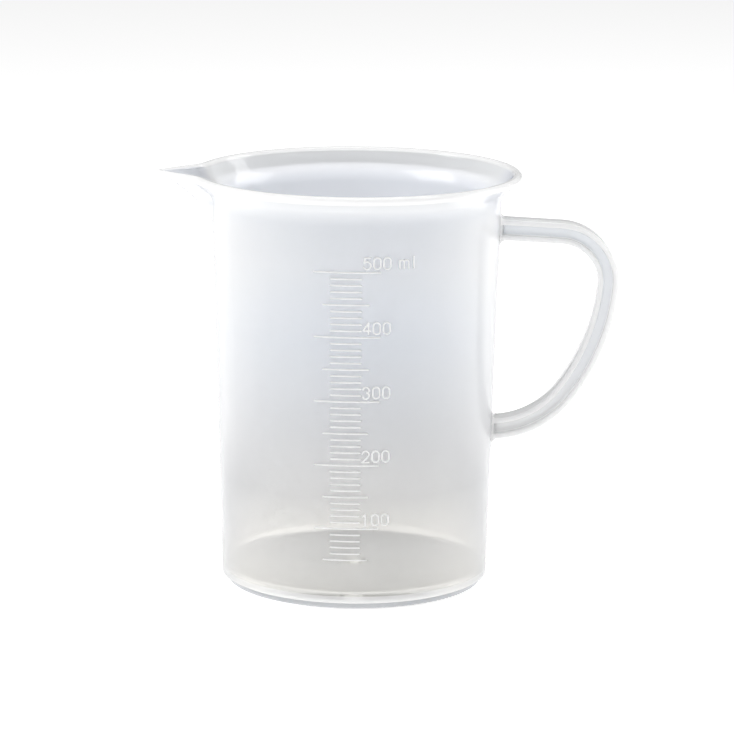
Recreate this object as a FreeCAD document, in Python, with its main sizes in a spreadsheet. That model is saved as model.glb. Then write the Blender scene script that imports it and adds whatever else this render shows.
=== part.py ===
import FreeCAD, Part
import math
import os

import Sketcher
from FreeCAD import Placement, Rotation, Vector

# A moulded polypropylene measuring jug of 500 ml: a tapered vessel with a flared rim, a pouring
# spout at -X, a D-shaped handle of I section at +X and a raised scale at the front, -Y.
# Millimetres. +Z is up and the origin is the centre of the foot on the table.

doc = FreeCAD.newDocument("measuring_jug")
sheet = doc.addObject("Spreadsheet::Sheet", "sizes")

DIMENSIONS = (
    # vessel
    ("jug_height", 125.4),
    ("base_radius", 40.45),          # the outer wall carried down to the table
    ("wall_taper", 0.0269),          # growth of the radius for each millimetre of height
    ("wall_thickness", 1.5),
    ("base_chamfer", 0.5),
    # foot and floor
    ("foot_height", 1.9),
    ("foot_outer_radius", 38.8),
    ("foot_inner_radius", 34.4),
    ("floor_top", 4.4),
    ("floor_fillet", 1.5),
    # the mark that the moulding gate leaves at the centre of the floor
    ("gate_radius", 4.0),
    ("gate_crown_radius", 2.9),
    ("gate_rise", 1.3),
    ("stub_radius", 1.6),
    ("stub_length", 0.9),
    # flare and rim
    ("flare_start", 115.5),
    ("flare_radius", 6.5),           # outer face of the flare; the inner face shares its centre
    ("flare_turn", 50.0),            # how far the flare has turned where the lip begins
    ("lip_corner_radius", 49.35),    # lower corner of the lip, from the axis
    ("lip_corner_height", 123.45),
    ("lip_bulge_radius", 49.7),      # the lip's widest point, from the axis
    ("lip_bulge_height", 124.3),
    ("lip_top_outer", 48.55),
    ("lip_top_inner", 47.75),
    ("lip_inner_radius", 47.35),
    ("lip_inner_height", 124.9),
    # spout
    ("spout_reach", 60.3),           # tip, from the axis
    ("spout_tip_height", 124.6),
    ("spout_start", 107.7),          # where the keel leaves the wall
    ("keel_foot_radius", 8.5),       # the keel's tight bend just above the wall
    ("keel_foot_turn", 40.0),
    ("keel_radius", 46.0),           # and its long sweep from there to the tip
    ("spout_half_angle", 41.5),
    ("spout_wall", 2.6),             # measured along X, between the two wedges
    ("spout_inside", 20.0),          # how far the wedges run past the axis
    # handle
    ("handle_width", 7.5),
    ("web_thickness", 1.8),
    ("outer_flange", 1.65),
    ("web_end", 4.75),               # depth of the inner flange's face below the outer face
    ("handle_depth", 6.3),
    ("arm_slope", 3.1),
    ("corner_x", 61.06),
    ("corner_z", 92.36),
    ("corner_radius", 18.15),
    ("side_radius", 68.5),
    ("side_start", -5.5),
    ("side_end", -36.9),
    ("lower_radius", 30.5),
    ("upper_root_x", 44.3),
    ("lower_root_x", 42.7),
    ("root_margin", 1.2),            # how far a root pad stands out round the handle
    ("root_corner", 2.4),
    # scale
    ("mark_100_height", 25.07),
    ("mark_pitch", 1.933),           # height of 10 ml
    ("mark_width", 0.5),
    ("mark_rise", 0.3),
    ("long_mark_angle", 25.4),
    ("middle_mark_angle", 18.0),
    ("short_mark_angle", 11.8),
    ("scale_turn", -4.0),            # centre of the scale, from -Y towards +X
    ("numeral_height", 3.9),
    ("numeral_width", 2.3),
    ("numeral_pitch", 2.95),
    ("numeral_stroke", 0.5),
    ("numeral_start", 2.9),          # left side of the first digit, from -Y towards +X
    ("numeral_lift", 0.55),          # gap between a mark and its number
)
for row, (alias, number) in enumerate(DIMENSIONS, start=1):
    sheet.set(f"A{row}", alias)
    sheet.set(f"B{row}", str(number))
    sheet.setAlias(f"B{row}", alias)
doc.recompute()


def value(expression):
    """The number that an expression on the sheet comes to."""
    result = sheet.evalExpression(expression)
    return float(getattr(result, "Value", result))


def wall_radius(height):
    """Expression for the outer wall's radius at a height."""
    return f"(sizes.base_radius + sizes.wall_taper * ({height}))"


def inner_radius(height):
    """Expression for the inner wall's radius at a height."""
    return f"({wall_radius(height)} - sizes.wall_thickness)"


def new_body(name):
    body = doc.addObject("PartDesign::Body", name)
    body.Label = name
    return body


def origin_plane(body, role):
    return next(item for item in body.Origin.OriginFeatures if item.Role == role)


def arc_between(start, end, radius, turn):
    """The minor arc from start to end; turn is 1 with its centre on the left, -1 on the right."""
    chord = end - start
    reach = math.sqrt(max(radius ** 2 - (chord.Length / 2) ** 2, 0.0))
    side = Vector(-chord.y, chord.x, 0).normalize() * turn
    centre = (start + end) / 2 + side * reach
    first, last = (start, end) if turn > 0 else (end, start)
    angles = [math.atan2(point.y - centre.y, point.x - centre.x) for point in (first, last)]
    return Part.ArcOfCircle(Part.Circle(centre, Vector(0, 0, 1), radius), *angles)


def draw(sketch, corners, arcs=None):
    """Draw a closed outline whose corners, and the radii of its arcs, follow the sheet.

    corners lists (x, y) expressions. arcs gives (radius, turn) for each side that isn't
    straight, by the number of the corner it starts from.
    """
    arcs = arcs or {}
    points = [Vector(value(x), value(y), 0) for x, y in corners]
    first_side = sketch.GeometryCount
    ends = []
    for index, start in enumerate(points):
        end = points[(index + 1) % len(points)]
        if index in arcs:
            radius, turn = arcs[index]
            side = sketch.addGeometry(arc_between(start, end, value(radius), turn), False)
            ends.append((1, 2) if turn > 0 else (2, 1))
        else:
            side = sketch.addGeometry(Part.LineSegment(start, end), False)
            ends.append((1, 2))
    for index, (x, y) in enumerate(corners):
        side = first_side + index
        following = (index + 1) % len(corners)
        sketch.addConstraint(Sketcher.Constraint(
            "Coincident", side, ends[index][1], first_side + following, ends[following][0]))
        for kind, axis, expression in (("DistanceX", -2, x), ("DistanceY", -1, y)):
            if expression == "0":
                sketch.addConstraint(Sketcher.Constraint(
                    "PointOnObject", side, ends[index][0], axis))
                continue
            number = sketch.addConstraint(Sketcher.Constraint(
                kind, -1, 1, side, ends[index][0], value(expression)))
            sketch.setExpression(f"Constraints[{number}]", expression)
    for index, (radius, turn) in arcs.items():
        number = sketch.addConstraint(Sketcher.Constraint(
            "Radius", first_side + index, value(radius)))
        sketch.setExpression(f"Constraints[{number}]", radius)


def sketch_in(body, role, name):
    sketch = body.newObject("Sketcher::SketchObject", name)
    sketch.AttachmentSupport = [(origin_plane(body, role), "")]
    sketch.MapMode = "FlatFace"
    return sketch


def revolved(name, outline, arcs=None):
    """A body turned about Z from an outline in the XZ plane."""
    body = new_body(name)
    sketch = sketch_in(body, "XZ_Plane", f"{name}_outline")
    draw(sketch, outline, arcs)
    turned = body.newObject("PartDesign::Revolution", f"{name}_turned")
    turned.Profile = sketch
    turned.ReferenceAxis = (sketch, ["V_Axis"])
    turned.Angle = 360
    sketch.Visibility = False
    return body


def padded(name, outline, arcs, width):
    """A body as wide as width, half on each side of the XZ plane."""
    body = new_body(name)
    sketch = sketch_in(body, "XZ_Plane", f"{name}_outline")
    draw(sketch, outline, arcs)
    pad = body.newObject("PartDesign::Pad", f"{name}_pad")
    pad.Profile = sketch
    pad.SideType = "Symmetric"
    pad.setExpression("Length", width)
    return body


def cut(name, base, tool):
    result = doc.addObject("Part::Cut", name)
    result.Base = base
    result.Tool = tool
    result.Label = name
    return result


# ---------------------------------------------------------------- vessel, rim, floor and foot

FLARE_CENTRE_X = f"({wall_radius('sizes.flare_start')} + sizes.flare_radius)"
FLARE_INNER = "(sizes.flare_radius + sizes.wall_thickness)"


def on_flare(radius):
    """Where the lip begins, on the flare's outer or inner face."""
    return (f"{FLARE_CENTRE_X} - {radius} * cos(sizes.flare_turn)",
            f"sizes.flare_start + {radius} * sin(sizes.flare_turn)")


FLARE_OUTER_FOOT = (f"{FLARE_CENTRE_X} - sizes.flare_radius", "sizes.flare_start")
FLARE_INNER_FOOT = (f"{FLARE_CENTRE_X} - {FLARE_INNER}", "sizes.flare_start")
LIP_JOINT_OUTER = on_flare("sizes.flare_radius")
LIP_JOINT_INNER = on_flare(FLARE_INNER)
FILLET_TOP = "(sizes.floor_top + sizes.floor_fillet)"
FILLET_FOOT = f"{inner_radius('sizes.floor_top')} - sizes.floor_fillet"

whole_wall = revolved("whole_wall", [
    (f"{wall_radius('sizes.foot_height')} - sizes.base_chamfer", "sizes.foot_height"),
    (wall_radius("(sizes.foot_height + sizes.base_chamfer)"),
     "sizes.foot_height + sizes.base_chamfer"),
    FLARE_OUTER_FOOT,
    LIP_JOINT_OUTER,
    LIP_JOINT_INNER,
    FLARE_INNER_FOOT,
    (inner_radius("sizes.foot_height"), "sizes.foot_height"),
], {2: ("sizes.flare_radius", -1), 4: (FLARE_INNER, 1)})

whole_lip = revolved("whole_lip", [
    LIP_JOINT_OUTER,
    ("sizes.lip_corner_radius", "sizes.lip_corner_height"),
    ("sizes.lip_bulge_radius", "sizes.lip_bulge_height"),
    ("sizes.lip_top_outer", "sizes.jug_height"),
    ("sizes.lip_top_inner", "sizes.jug_height"),
    ("sizes.lip_inner_radius", "sizes.lip_inner_height"),
    LIP_JOINT_INNER,
], {1: ("2.2", 1), 2: ("1.9", 1), 4: ("0.7", 1)})

vessel_floor = revolved("vessel_floor", [
    ("0", "sizes.foot_height"),
    (inner_radius("sizes.foot_height"), "sizes.foot_height"),
    (inner_radius(FILLET_TOP), FILLET_TOP),
    (FILLET_FOOT, "sizes.floor_top"),
    ("0", "sizes.floor_top"),
], {2: ("sizes.floor_fillet * 1.03", -1)})

foot_ring = revolved("foot_ring", [
    ("sizes.foot_inner_radius", "0"),
    ("sizes.foot_outer_radius", "0"),
    ("sizes.foot_outer_radius", "sizes.foot_height"),
    ("sizes.foot_inner_radius", "sizes.foot_height"),
])

gate_boss = revolved("gate_boss", [
    ("0", "sizes.floor_top"),
    ("sizes.gate_radius", "sizes.floor_top"),
    ("sizes.gate_crown_radius", "sizes.floor_top + sizes.gate_rise"),
    ("0", "sizes.floor_top + sizes.gate_rise"),
])

sprue_stub = revolved("sprue_stub", [
    ("0", "sizes.foot_height - sizes.stub_length"),
    ("sizes.stub_radius", "sizes.foot_height - sizes.stub_length"),
    ("sizes.stub_radius", "sizes.foot_height"),
    ("0", "sizes.foot_height"),
])

# The space that the wall, the flare and the lip enclose; a tool that isn't kept.
cavity = revolved("cavity", [
    ("0", "sizes.floor_top"),
    (inner_radius("sizes.floor_top"), "sizes.floor_top"),
    FLARE_INNER_FOOT,
    LIP_JOINT_INNER,
    ("sizes.lip_inner_radius", "sizes.lip_inner_height"),
    ("sizes.lip_inner_radius", "sizes.jug_height + 5"),
    ("0", "sizes.jug_height + 5"),
], {2: (FLARE_INNER, -1)})

# ---------------------------------------------------------------- spout
# A keel curve leaves the wall and rises to the tip. Slid along the two sides of a V, the area
# behind the keel makes two prisms, and what they share is the wedge of the spout.


def spout_wedge(name, shift):
    """The wedge of the spout, moved along X by an expression."""
    body = new_body(f"{name}_keel")
    sketch = sketch_in(body, "XZ_Plane", f"{name}_keel_outline")
    keel_x = f"-({wall_radius('sizes.spout_start')}) + {shift}"
    bend_x = f"{keel_x} - sizes.keel_foot_radius * (1 - cos(sizes.keel_foot_turn))"
    bend_z = "sizes.spout_start + sizes.keel_foot_radius * sin(sizes.keel_foot_turn)"
    draw(sketch, [
        (keel_x, "sizes.spout_start"),
        ("sizes.spout_inside", "sizes.spout_start"),
        ("sizes.spout_inside", "sizes.jug_height"),
        (f"-sizes.spout_reach + {shift}", "sizes.jug_height"),
        (f"-sizes.spout_reach + {shift}", "sizes.spout_tip_height"),
        (bend_x, bend_z),
    ], {4: ("sizes.keel_radius", 1), 5: ("sizes.keel_foot_radius", 1)})
    slides = []
    for side, word in ((1, "left"), (-1, "right")):
        slide = doc.addObject("Part::Extrusion", f"{name}_{word}_slide")
        slide.Base = sketch
        slide.DirMode = "Custom"
        slide.Solid = True
        slide.LengthFwd = 60
        slide.LengthRev = 60
        slide.setExpression("Dir.x", "cos(sizes.spout_half_angle)")
        slide.setExpression("Dir.y", f"{side} * sin(sizes.spout_half_angle)")
        slide.Dir = Vector(value("cos(sizes.spout_half_angle)"),
                           side * value("sin(sizes.spout_half_angle)"), 0)
        slides.append(slide)
    wedge = doc.addObject("Part::MultiCommon", name)
    wedge.Shapes = slides
    return wedge


spout_envelope = spout_wedge("spout_envelope", "0")
spout_channel = spout_wedge("spout_channel", "sizes.spout_wall")
spout_shell = cut("spout_shell", spout_envelope, spout_channel)
pouring_spout = cut("pouring_spout", spout_shell, cavity)
vessel_wall = cut("vessel_wall", whole_wall, spout_envelope)
rim_lip = cut("rim_lip", whole_lip, spout_envelope)

# ---------------------------------------------------------------- handle
# The outer face of the handle is an arm, a corner arc, a long side arc and a lower arc, each
# tangent to the next. The flanges and the web lie between faces parallel to it.

ARM_ANGLE = "(90 - sizes.arm_slope)"
SIDE_X = "(sizes.corner_x - (sizes.side_radius - sizes.corner_radius) * cos(sizes.side_start))"
SIDE_Z = "(sizes.corner_z - (sizes.side_radius - sizes.corner_radius) * sin(sizes.side_start))"
LOWER_X = f"({SIDE_X} + (sizes.side_radius - sizes.lower_radius) * cos(sizes.side_end))"
LOWER_Z = f"({SIDE_Z} + (sizes.side_radius - sizes.lower_radius) * sin(sizes.side_end))"


def arm_height(depth, x):
    """Height, at x, of the upper arm's face at a depth below the outer face."""
    return (f"sizes.corner_z + ((sizes.corner_radius - {depth})"
            f" - ({x} - sizes.corner_x) * cos({ARM_ANGLE})) / sin({ARM_ANGLE})")


def lower_height(depth, x):
    """Height, at x, of the lower arc's face at a depth below the outer face."""
    return (f"{LOWER_Z} - sqrt((sizes.lower_radius - {depth}) ^ 2 - ({x} - {LOWER_X}) ^ 2)")


def handle_face(depth):
    """Corners of one face of the handle, from the upper root to the lower root."""
    return [
        ("sizes.upper_root_x", arm_height(depth, "sizes.upper_root_x")),
        (f"sizes.corner_x + (sizes.corner_radius - {depth}) * cos({ARM_ANGLE})",
         f"sizes.corner_z + (sizes.corner_radius - {depth}) * sin({ARM_ANGLE})"),
        (f"sizes.corner_x + (sizes.corner_radius - {depth}) * cos(sizes.side_start)",
         f"sizes.corner_z + (sizes.corner_radius - {depth}) * sin(sizes.side_start)"),
        (f"{SIDE_X} + (sizes.side_radius - {depth}) * cos(sizes.side_end)",
         f"{SIDE_Z} + (sizes.side_radius - {depth}) * sin(sizes.side_end)"),
        ("sizes.lower_root_x", lower_height(depth, "sizes.lower_root_x")),
    ]


def handle_band(name, outer, inner, width):
    """The band of the handle between two depths."""
    radii = ("sizes.corner_radius", "sizes.side_radius", "sizes.lower_radius")
    arcs = {index: (f"{radius} - {outer}", -1) for index, radius in enumerate(radii, start=1)}
    arcs.update({index: (f"{radius} - {inner}", 1)
                 for index, radius in enumerate(radii[::-1], start=5)})
    return padded(name, handle_face(outer) + handle_face(inner)[::-1], arcs, width)


handle_outer_flange = handle_band(
    "handle_outer_flange", "0", "sizes.outer_flange", "sizes.handle_width")
handle_web = handle_band(
    "handle_web", "sizes.outer_flange", "sizes.web_end", "sizes.web_thickness")
handle_inner_flange = handle_band(
    "handle_inner_flange", "sizes.web_end", "sizes.handle_depth", "sizes.handle_width")


def root_pad(name, x, top, bottom):
    """A rounded pad between the vessel's wall and one end of the handle."""
    body = new_body(name)
    sketch = sketch_in(body, "YZ_Plane", f"{name}_outline")
    half = "(sizes.handle_width / 2 + sizes.root_margin)"
    inset = f"({half} - sizes.root_corner)"
    high = f"{top} + sizes.root_margin"
    low = f"{bottom} - sizes.root_margin"
    corner = ("sizes.root_corner", 1)
    draw(sketch, [
        (f"-{inset}", low), (inset, low),
        (half, f"{low} + sizes.root_corner"), (half, f"{high} - sizes.root_corner"),
        (inset, high), (f"-{inset}", high),
        (f"-{half}", f"{high} - sizes.root_corner"), (f"-{half}", f"{low} + sizes.root_corner"),
    ], {1: corner, 3: corner, 5: corner, 7: corner})
    pad = body.newObject("PartDesign::Pad", f"{name}_pad")
    pad.Profile = sketch
    pad.setExpression("Length", x)
    wall = sketch_in(body, "XZ_Plane", f"{name}_wall")
    draw(wall, [
        ("0", f"{low} - 5"), (wall_radius(f"({low} - 5)"), f"{low} - 5"),
        (wall_radius(f"({high} + 3)"), f"{high} + 3"), ("0", f"{high} + 3"),
    ])
    groove = body.newObject("PartDesign::Groove", f"{name}_seat")
    groove.Profile = wall
    groove.ReferenceAxis = (wall, ["V_Axis"])
    groove.Angle = 360
    return body


handle_upper_root = root_pad(
    "handle_upper_root", "sizes.upper_root_x",
    f"({arm_height('0', 'sizes.upper_root_x')})",
    f"({arm_height('sizes.handle_depth', 'sizes.upper_root_x')})")
handle_lower_root = root_pad(
    "handle_lower_root", "sizes.lower_root_x",
    f"({lower_height('sizes.handle_depth', 'sizes.lower_root_x')})",
    f"({lower_height('0', 'sizes.lower_root_x')})")

# ---------------------------------------------------------------- scale


def mark_height(volume):
    return f"(sizes.mark_100_height + {(volume - 100) // 10} * sizes.mark_pitch)"


def marks(name, volumes, angle):
    """Raised lines at the given volumes, turned through an angle about the axis."""
    body = new_body(name)
    body.AllowCompound = True
    sketch = sketch_in(body, "XZ_Plane", f"{name}_sections")
    for volume in volumes:
        low = f"{mark_height(volume)} - sizes.mark_width / 2"
        high = f"{mark_height(volume)} + sizes.mark_width / 2"
        draw(sketch, [
            (wall_radius(low), low),
            (f"{wall_radius(low)} + sizes.mark_rise", low),
            (f"{wall_radius(high)} + sizes.mark_rise", high),
            (wall_radius(high), high),
        ])
    turned = body.newObject("PartDesign::Revolution", f"{name}_turned")
    turned.Profile = sketch
    turned.ReferenceAxis = (sketch, ["V_Axis"])
    turned.Midplane = True
    turned.setExpression("Angle", angle)
    body.setExpression("Placement.Rotation.Angle", "sizes.scale_turn - 90")
    body.Placement = Placement(Vector(), Rotation(Vector(0, 0, 1), value("sizes.scale_turn") - 90))
    return body


VOLUMES = range(50, 501, 10)
long_marks = marks("long_marks", [v for v in VOLUMES if v % 100 == 0], "sizes.long_mark_angle")
middle_marks = marks("middle_marks", [v for v in VOLUMES if v % 100 == 50],
                     "sizes.middle_mark_angle")
short_marks = marks("short_marks", [v for v in VOLUMES if v % 50], "sizes.short_mark_angle")

# Each glyph is a list of strokes in a cell one unit high: straight runs (x, y, x, y) and arcs
# (centre x, centre y, radius, first angle, last angle).
GLYPHS = {
    "0": ((0.0, 0.295, 0.0, 0.705), (0.59, 0.295, 0.59, 0.705),
          (0.295, 0.705, 0.295, 0, 180), (0.295, 0.295, 0.295, 180, 360)),
    "1": ((0.32, 0.0, 0.32, 1.0), (0.32, 1.0, 0.1, 0.8)),
    "2": ((0.0, 0.0, 0.59, 0.0), (0.0, 0.0, 0.535, 0.55), (0.295, 0.705, 0.295, -32, 170)),
    "3": ((0.28, 0.735, 0.265, -75, 165), (0.28, 0.255, 0.28, -165, 80)),
    "4": ((0.45, 0.0, 0.45, 1.0), (0.45, 1.0, 0.0, 0.3), (0.0, 0.3, 0.6, 0.3)),
    "5": ((0.54, 1.0, 0.1, 1.0), (0.1, 1.0, 0.03, 0.53), (0.285, 0.32, 0.32, -155, 140)),
    "m": ((0.0, 0.0, 0.0, 0.72), (0.4, 0.0, 0.4, 0.52), (0.8, 0.0, 0.8, 0.52),
          (0.2, 0.52, 0.2, 0, 180), (0.6, 0.52, 0.2, 0, 180)),
    "l": ((0.15, 0.0, 0.15, 1.0),),
}


def stroke_shapes(stroke, scale, stroke_width, depth):
    """Solids of one stroke, standing out of the XZ plane towards -Y."""
    half = stroke_width / 2
    out = Vector(0, -depth, 0)

    def disc(x, z):
        return Part.Face(Part.Wire(Part.makeCircle(half, Vector(x, 0, z), Vector(0, 1, 0))))

    if len(stroke) == 4:
        start = Vector(stroke[0] * scale, 0, stroke[1] * scale)
        end = Vector(stroke[2] * scale, 0, stroke[3] * scale)
        side = (end - start).cross(Vector(0, 1, 0)).normalize() * half
        corners = [start + side, end + side, end - side, start - side, start + side]
        faces = [Part.Face(Part.makePolygon(corners))]
        ends = (start, end)
    else:
        centre = Vector(stroke[0] * scale, 0, stroke[1] * scale)
        radius = stroke[2] * scale
        first, last = (math.radians(angle) for angle in stroke[3:])

        def at(distance, angle):
            return centre + Vector(distance * math.cos(angle), 0, distance * math.sin(angle))

        middle = (first + last) / 2
        rims = [Part.Arc(at(r, first), at(r, middle), at(r, last)).toShape()
                for r in (radius - half, radius + half)]
        caps = [Part.makeLine(at(radius - half, a), at(radius + half, a)) for a in (first, last)]
        faces = [Part.Face(Part.Wire(Part.__sortEdges__(rims + caps)))]
        ends = (at(radius, first), at(radius, last))
    faces += [disc(point.x, point.z) for point in ends]
    return [face.extrude(out) for face in faces]


def numeral(name, text, volume):
    """A number raised on the wall, above the mark for its volume."""
    foot = value(mark_height(volume)) + value("sizes.numeral_lift") + value("sizes.mark_width / 2")
    scale = value("sizes.numeral_height") - value("sizes.numeral_stroke")
    foot += value("sizes.numeral_stroke") / 2
    low, high = foot - 2, foot + scale + 2
    rise = value("sizes.mark_rise")
    skin = Part.makeCone(value(wall_radius(str(low))) + rise, value(wall_radius(str(high))) + rise,
                         high - low, Vector(0, 0, low))
    skin = skin.cut(Part.makeCone(value(wall_radius(str(low))), value(wall_radius(str(high))),
                                  high - low, Vector(0, 0, low)))
    glyph_turn = math.degrees(value("sizes.numeral_pitch") / value(wall_radius(str(foot))))
    turn = value("sizes.numeral_start")
    solids = []
    for letter in text:
        if letter != " ":
            strokes = [solid for stroke in GLYPHS[letter]
                       for solid in stroke_shapes(stroke, scale, value("sizes.numeral_stroke"), 60)]
            glyph = strokes[0].multiFuse(strokes[1:]).removeSplitter()
            glyph.translate(Vector(0, 0, foot))
            glyph = glyph.common(skin)
            glyph.rotate(Vector(), Vector(0, 0, 1), turn)
            solids += glyph.Solids
        turn += glyph_turn * {" ": 0.6, "m": 1.3}.get(letter, 1.0)
    feature = doc.addObject("Part::Feature", name)
    feature.Label = name
    feature.Shape = Part.makeCompound(solids)
    return feature


numerals = [numeral(f"numeral_{volume}", str(volume), volume) for volume in (100, 200, 300, 400)]
numerals.append(numeral("numeral_500_ml", "500 ml", 500))

# ---------------------------------------------------------------- check and write

KEPT = [
    vessel_wall, rim_lip, pouring_spout, vessel_floor, foot_ring, gate_boss, sprue_stub,
    handle_outer_flange, handle_web, handle_inner_flange, handle_upper_root, handle_lower_root,
    long_marks, middle_marks, short_marks,
] + numerals

doc.recompute()
for item in doc.Objects:
    if "Invalid" in item.State or "Error" in item.State:
        raise RuntimeError(f"{item.Name} could not be computed")
for item in KEPT:
    if item.Shape.isNull() or not item.Shape.isValid() or not item.Shape.Solids:
        raise RuntimeError(f"{item.Label} has no valid solid")

os.makedirs("parts", exist_ok=True)
for item in KEPT:
    item.Shape.exportStep(os.path.join("parts", f"{item.Label}.step"))
    box = item.Shape.BoundBox
    print(f"{item.Label}: {len(item.Shape.Solids)} solid(s), {item.Shape.Volume:.1f} mm3,",
          f"x {box.XMin:.2f}..{box.XMax:.2f}, y {box.YMin:.2f}..{box.YMax:.2f},",
          f"z {box.ZMin:.2f}..{box.ZMax:.2f}")
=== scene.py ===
import math

import bmesh
import bpy
from mathutils import Matrix, Vector


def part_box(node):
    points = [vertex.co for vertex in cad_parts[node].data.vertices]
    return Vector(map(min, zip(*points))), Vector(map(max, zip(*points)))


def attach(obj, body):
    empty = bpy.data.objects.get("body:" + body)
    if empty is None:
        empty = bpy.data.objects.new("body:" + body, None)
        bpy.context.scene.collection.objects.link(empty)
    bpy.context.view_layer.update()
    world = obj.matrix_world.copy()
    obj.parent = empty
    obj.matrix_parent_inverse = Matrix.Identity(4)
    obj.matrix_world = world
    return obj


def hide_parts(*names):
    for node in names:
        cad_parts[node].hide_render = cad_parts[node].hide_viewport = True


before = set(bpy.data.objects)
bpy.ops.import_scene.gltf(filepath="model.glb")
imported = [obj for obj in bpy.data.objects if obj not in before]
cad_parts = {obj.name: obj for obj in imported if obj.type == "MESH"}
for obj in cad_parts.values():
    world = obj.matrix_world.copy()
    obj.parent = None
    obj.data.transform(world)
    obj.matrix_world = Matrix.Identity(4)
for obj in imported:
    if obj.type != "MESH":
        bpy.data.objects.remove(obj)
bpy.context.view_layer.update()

# A translucent polypropylene measuring jug of 500 ml: one moulded shell with a flared rim and a
# spout, a handle of I section, and a raised scale. Sizes are in millimetres until a mesh is made.
# +Z is up, the spout is at -X, the handle at +X, and the scale faces -Y.

MM = 0.001


def box_mm(node):
    """The low and high corners of a CAD node's box."""
    low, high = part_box(node)
    return [value / MM for value in low], [value / MM for value in high]


# ------------------------------------------------------------------ sizes taken from the frame

FOOT_RADIUS = box_mm("foot_ring")[1][0]
FOOT_HEIGHT = box_mm("foot_ring")[1][2]
RIM_RADIUS = box_mm("rim_lip")[1][1]
JUG_HEIGHT = box_mm("rim_lip")[1][2]
SPOUT_REACH = -box_mm("pouring_spout")[0][0]
SPOUT_START = box_mm("pouring_spout")[0][2]
FLOOR_TOP = box_mm("gate_boss")[0][2]
GATE_TOP = box_mm("gate_boss")[1][2]
GATE_RADIUS = box_mm("gate_boss")[1][0]
STUB_RADIUS = box_mm("sprue_stub")[1][0]
HANDLE_REACH = box_mm("handle_outer_flange")[1][0]
HANDLE_HALF_WIDTH = box_mm("handle_outer_flange")[1][1]
WEB_HALF_WIDTH = box_mm("handle_web")[1][1]

# ------------------------------------------------------------------ sizes of the moulding

BASE_RADIUS = 40.45          # the outer wall carried down to the table
TAPER = 0.0269
WALL = 1.5
FOOT_INNER_RADIUS = 34.4
BAND_TOP = 4.3               # the milkier bottom edge of the wall ends here
BAND_FADE = 0.3
FLOOR_FILLET = 1.5
FLARE_CORNER_HEIGHT = 118.55  # where the wall and the flare would meet without their bend
INNER_CORNER_HEIGHT = 117.9
FLARE_BEND = 6.5
KEEL_FOOT_RADIUS = 8.5
KEEL_FOOT_TURN = math.radians(40)
KEEL_RADIUS = 46.0
KEEL_STEPS = 16
TIP_THICKNESS = 1.1


def wall_radius(height):
    """The outer radius of the wall, which widens evenly upwards."""
    return BASE_RADIUS + TAPER * height


# ------------------------------------------------------------------ outlines and meshes


def rounded(corners, steps=5):
    """Points of an open outline; each corner is (x, y, radius of its rounding)."""
    points = []
    for index, (x, y, radius) in enumerate(corners):
        corner = Vector((x, y))
        if radius == 0 or index in (0, len(corners) - 1):
            points.append(corner)
            continue
        before = (Vector(corners[index - 1][:2]) - corner).normalized()
        after = (Vector(corners[index + 1][:2]) - corner).normalized()
        half = before.angle(after) / 2
        centre = corner + (before + after).normalized() * (radius / math.sin(half))
        first = corner + before * (radius / math.tan(half)) - centre
        last = corner + after * (radius / math.tan(half)) - centre
        sweep = first.angle_signed(last)
        for step in range(steps + 1):
            turn = -sweep * step / steps
            points.append(centre + Vector((
                first.x * math.cos(turn) - first.y * math.sin(turn),
                first.x * math.sin(turn) + first.y * math.cos(turn))))
    return points


def walk(points, count):
    """count points spread evenly along a polyline, both of its ends included."""
    lengths = [0.0]
    for start, end in zip(points, points[1:]):
        lengths.append(lengths[-1] + (end - start).length)
    result, run = [], 0
    for index in range(count):
        target = lengths[-1] * index / (count - 1)
        while run < len(points) - 2 and lengths[run + 1] < target:
            run += 1
        share = (target - lengths[run]) / (lengths[run + 1] - lengths[run])
        result.append(points[run].lerp(points[run + 1], min(max(share, 0.0), 1.0)))
    return result


def filled(points, longest):
    """The outline with its long runs divided, and a point close to each end of them."""
    near = 0.25
    result = [points[0]]
    for start, end in zip(points, points[1:]):
        run = (end - start).length
        if run > 4 * near:
            stops = [near / run]
            pieces = math.ceil(run / longest)
            stops += [piece / pieces for piece in range(1, pieces)]
            stops.append(1 - near / run)
            result += [start.lerp(end, stop) for stop in stops]
        result.append(end)
    return result


def new_mesh(name, vertices, faces):
    """A mesh whose faces all look outwards."""
    mesh = bpy.data.meshes.new(name)
    mesh.from_pydata(vertices, [], faces)
    shaped = bmesh.new()
    shaped.from_mesh(mesh)
    bmesh.ops.recalc_face_normals(shaped, faces=shaped.faces)
    shaped.to_mesh(mesh)
    shaped.free()
    return mesh


def make_object(name, vertices, faces, material, slot, *nodes, **skin):
    """A closed mesh in metres that stands for the CAD nodes named.

    skin holds the values per vertex that its material reads: milk and shade.
    """
    mesh = new_mesh(name, [tuple(c * MM for c in vertex) for vertex in vertices], faces)
    mesh.shade_smooth()
    for label, values in skin.items():
        layer = mesh.attributes.new(label, "FLOAT", "POINT")
        layer.data.foreach_set("value", values)
    piece = bpy.data.objects.new(name, mesh)
    bpy.context.scene.collection.objects.link(piece)
    mesh.materials.append(material)
    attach(piece, "root")
    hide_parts(*nodes)


def lofted(rings):
    """Vertices and faces of a tube through rings of points, with its two ends capped."""
    size = len(rings[0])
    vertices = [point for ring in rings for point in ring]
    faces = []
    for ring in range(len(rings) - 1):
        for side in range(size):
            after = (side + 1) % size
            faces.append((ring * size + side, ring * size + after,
                          (ring + 1) * size + after, (ring + 1) * size + side))
    faces.append(tuple(range(size)))
    faces.append(tuple((len(rings) - 1) * size + side for side in range(size)))
    return vertices, faces


# ------------------------------------------------------------------ materials

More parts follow.
